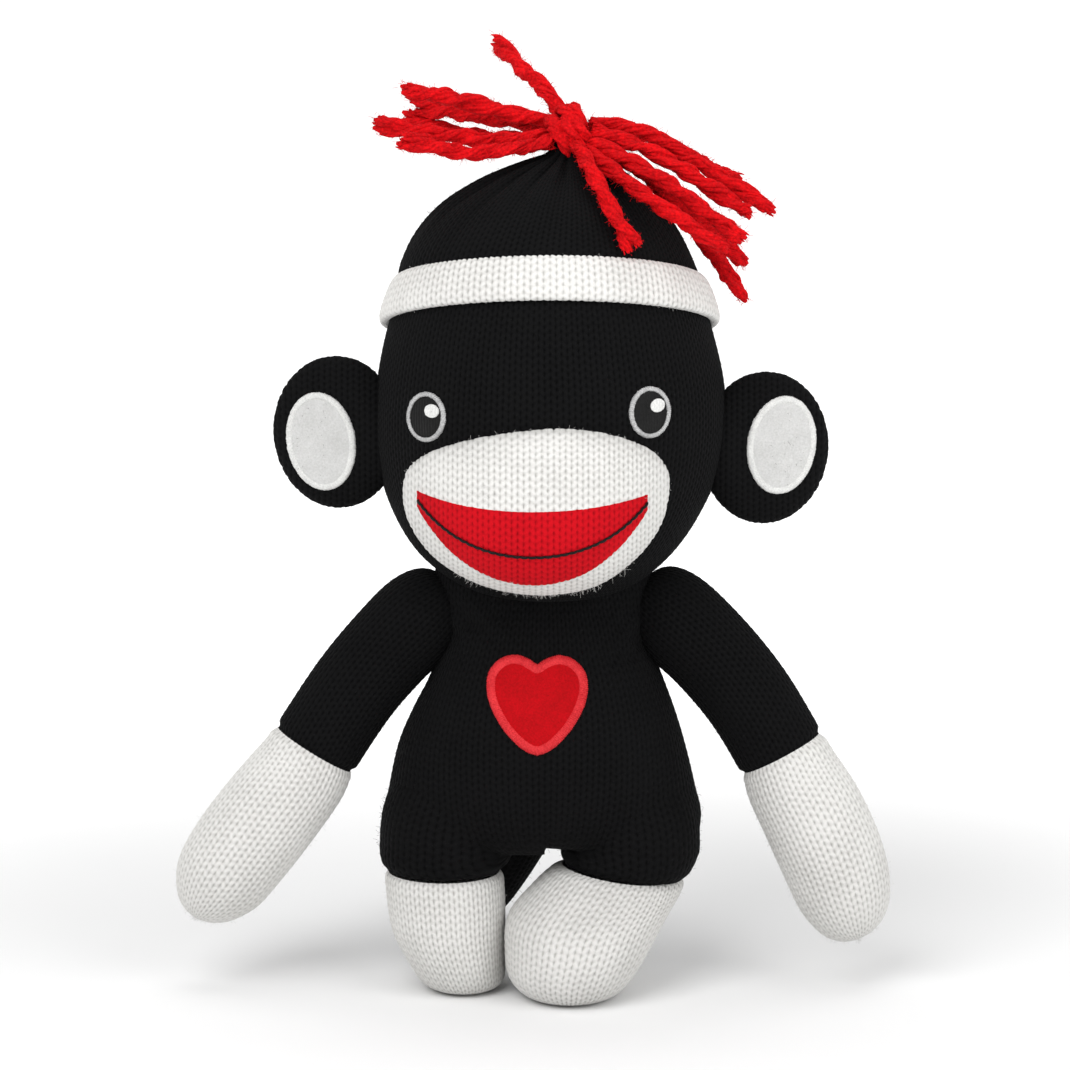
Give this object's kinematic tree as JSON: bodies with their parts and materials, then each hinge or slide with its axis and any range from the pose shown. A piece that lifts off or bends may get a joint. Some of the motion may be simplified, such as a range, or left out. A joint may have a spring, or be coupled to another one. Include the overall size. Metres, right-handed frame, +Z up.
{
  "type": "stuffed toy monkey",
  "caption": "Knitted stuffed monkey in a bobble hat, with a broad grin, round ears, a heart patch, hanging arms and a tail.",
  "frame": {"origin": "middle of the base of the whole toy, on the surface that its feet and tail stand on", "axes": "+Z up, -Y the way its face looks, +X its left side"},
  "size_m": [0.1508, 0.1074, 0.199],
  "materials": {
    "red_yarn": "knitted, sewn or felted textile",
    "red_knit": "knitted, sewn or felted textile",
    "red_felt": "knitted, sewn or felted textile",
    "pale_red_thread": "knitted, sewn or felted textile",
    "stuffing": "knitted, sewn or felted textile",
    "white_knit": "knitted, sewn or felted textile",
    "white_felt": "knitted, sewn or felted textile",
    "white_thread": "knitted, sewn or felted textile",
    "grey_thread": "knitted, sewn or felted textile",
    "black_thread": "knitted, sewn or felted textile",
    "black_knit": "knitted, sewn or felted textile"
  },
  "bodies": {
    "torso": {"body_cover": "black_knit", "body_filling": "stuffing", "heart_patch": "red_felt", "heart_border": "pale_red_thread"},
    "neck": {"neck_seam": "black_thread"},
    "head": {"head_cover": "black_knit", "head_filling": "stuffing", "muzzle_cover": "white_knit", "muzzle_filling": "stuffing", "mouth_patch": "red_knit", "smile_stitch": "black_thread", "left_eye_ring": "grey_thread", "left_eye_pupil": "black_thread", "left_eye_glint": "white_felt", "right_eye_ring": "grey_thread", "right_eye_pupil": "black_thread", "right_eye_glint": "white_felt", "hat_band": "white_knit", "hat_crown": "black_knit", "tassel_tie": "red_yarn", "strand_front": "red_yarn", "strand_left_back": "red_yarn", "strand_left_hat": "red_yarn", "strand_left_high": "red_yarn", "strand_left_low": "red_yarn", "strand_left_rear": "red_yarn", "strand_right_back": "red_yarn", "strand_right_front": "red_yarn", "strand_right_high": "red_yarn", "strand_right_low": "red_yarn", "strand_right_mid": "red_yarn", "strand_side_high": "red_yarn", "strand_side_low": "red_yarn", "strand_top": "red_yarn"},
    "left_ear": {"left_ear_cover": "black_knit", "left_ear_filling": "stuffing", "left_ear_patch": "white_felt", "left_ear_stitching": "white_thread"},
    "right_ear": {"right_ear_cover": "black_knit", "right_ear_filling": "stuffing", "right_ear_patch": "white_felt", "right_ear_stitching": "white_thread"},
    "left_shoulder": {"left_shoulder_seam": "black_thread"},
    "right_shoulder": {"right_shoulder_seam": "black_thread"},
    "left_arm": {"left_sleeve": "black_knit", "left_hand": "white_knit", "left_arm_filling": "stuffing"},
    "right_arm": {"right_sleeve": "black_knit", "right_hand": "white_knit", "right_arm_filling": "stuffing"},
    "left_leg": {"left_hip_cover": "black_knit", "left_foot": "white_knit", "left_leg_filling": "stuffing"},
    "right_leg": {"right_hip_cover": "black_knit", "right_foot": "white_knit", "right_leg_filling": "stuffing"},
    "tail": {"tail_cover": "black_knit", "tail_filling": "stuffing"}
  },
  "joints": [
    {"name": "head_turn", "type": "hinge", "parent": "torso", "child": "neck", "pos_m": [0.00372, -0.01092, 0.1145], "axis": [0, 0, 1], "range_deg": [-25, 25]},
    {"name": "head_nod", "type": "hinge", "parent": "neck", "child": "head", "pos_m": [0.00372, -0.01092, 0.1145], "axis": [1, 0, 0], "range_deg": [-12, 5]},
    {"name": "left_arm_raise", "type": "hinge", "parent": "torso", "child": "left_shoulder", "pos_m": [0.02922, -0.01092, 0.0764], "axis": [0, -1, 0], "range_deg": [0, 65]},
    {"name": "left_arm_swing", "type": "hinge", "parent": "left_shoulder", "child": "left_arm", "pos_m": [0.02922, -0.01092, 0.0764], "axis": [-1, 0, 0], "range_deg": [-40, 45]},
    {"name": "right_arm_raise", "type": "hinge", "parent": "torso", "child": "right_shoulder", "pos_m": [-0.02328, -0.01092, 0.0764], "axis": [0, 1, 0], "range_deg": [0, 65]},
    {"name": "right_arm_swing", "type": "hinge", "parent": "right_shoulder", "child": "right_arm", "pos_m": [-0.02328, -0.01092, 0.0764], "axis": [-1, 0, 0], "range_deg": [-40, 45]},
    {"name": "left_leg_swing", "type": "hinge", "parent": "torso", "child": "left_leg", "pos_m": [0.02112, -0.01442, 0.0309], "axis": [-1, 0, 0], "range_deg": [-15, 30]},
    {"name": "right_leg_swing", "type": "hinge", "parent": "torso", "child": "right_leg", "pos_m": [-0.01768, -0.01442, 0.0309], "axis": [-1, 0, 0], "range_deg": [-15, 30]},
    {"name": "tail_swing", "type": "hinge", "parent": "torso", "child": "tail", "pos_m": [0.00272, 0.00658, 0.0384], "axis": [1, 0, 0], "range_deg": [-12, 45]},
    {"name": "left_ear_fold", "type": "hinge", "parent": "head", "child": "left_ear", "pos_m": [0.04172, -0.01192, 0.114], "axis": [0, 0, -1], "range_deg": [-25, 7]},
    {"name": "right_ear_fold", "type": "hinge", "parent": "head", "child": "right_ear", "pos_m": [-0.03428, -0.01192, 0.1172], "axis": [0, 0, 1], "range_deg": [-25, 7]}
  ]
}
